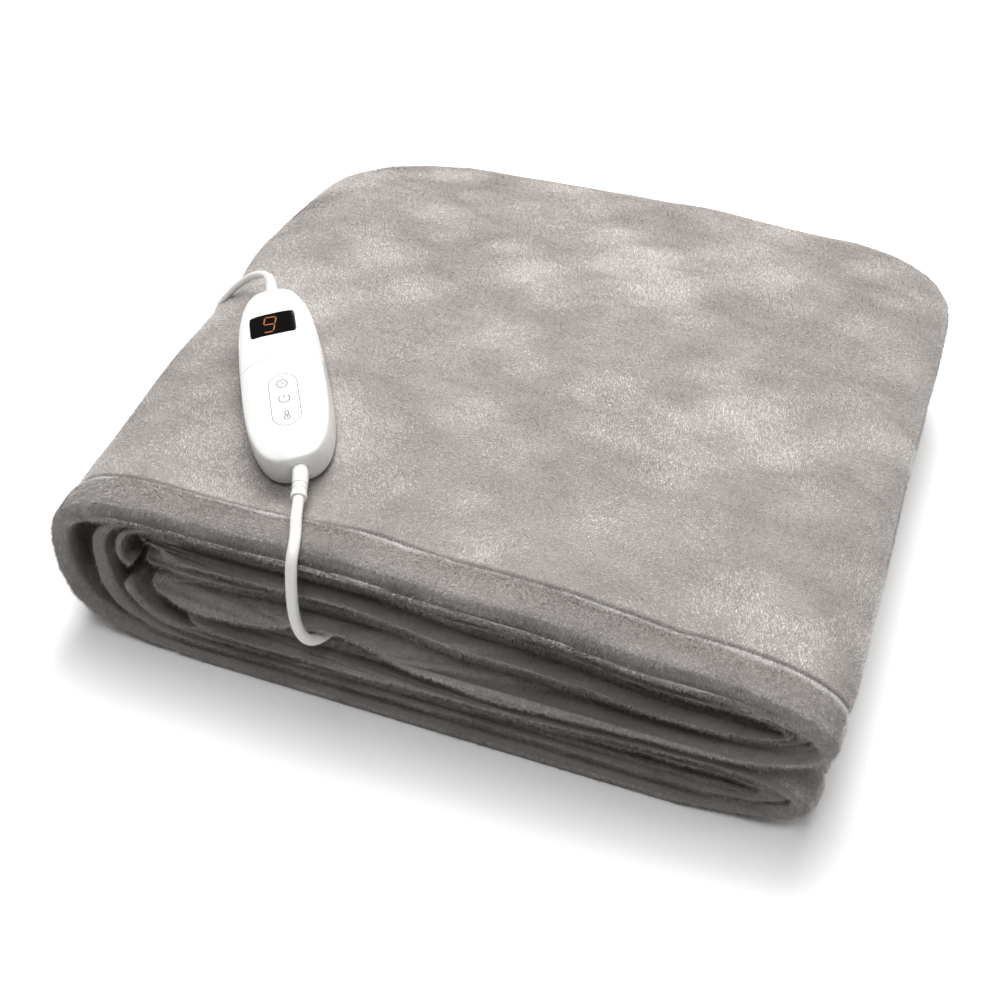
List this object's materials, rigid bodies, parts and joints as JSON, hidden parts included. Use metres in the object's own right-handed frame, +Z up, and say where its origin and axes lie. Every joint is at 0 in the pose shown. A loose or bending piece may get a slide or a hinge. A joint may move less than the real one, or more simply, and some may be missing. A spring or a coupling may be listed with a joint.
{
  "type": "electric heated blanket",
  "caption": "Electric heated fleece throw, folded into a block with rolled ends, with a hand controller lying on it, its short lead and its mains lead.",
  "frame": {"origin": "bottom centre of the folded block, on the surface that it lies on", "axes": "+X towards the two rolled ends, -Y towards the open near edge with its hem, +Z up"},
  "size_m": [0.4401, 0.4912, 0.1439],
  "materials": {
    "fleece": "deep brushed polyester coral fleece, warm light grey",
    "white_shell": "moulded ABS, glossy white",
    "display_black": "smoked acrylic window, polished",
    "key_membrane": "printed polyester membrane, satin",
    "white_sleeve": "extruded PVC, satin white",
    "plug_shell": "moulded PVC, satin white",
    "pin_metal": "nickel-plated brass"
  },
  "bodies": {
    "root": {"blanket": "fleece", "controller_lower_shell": "white_shell", "controller_upper_shell": "white_shell", "display_window": "display_black", "key_pad": "key_membrane", "relief_near": "white_sleeve", "relief_far": "white_sleeve", "blanket_lead": "white_sleeve", "mains_lead": "white_sleeve", "lead_coil": "white_sleeve", "mains_lead_tail": "white_sleeve", "plug_body": "plug_shell", "plug_pin_a": "pin_metal", "plug_pin_b": "pin_metal"}
  },
  "joints": []
}
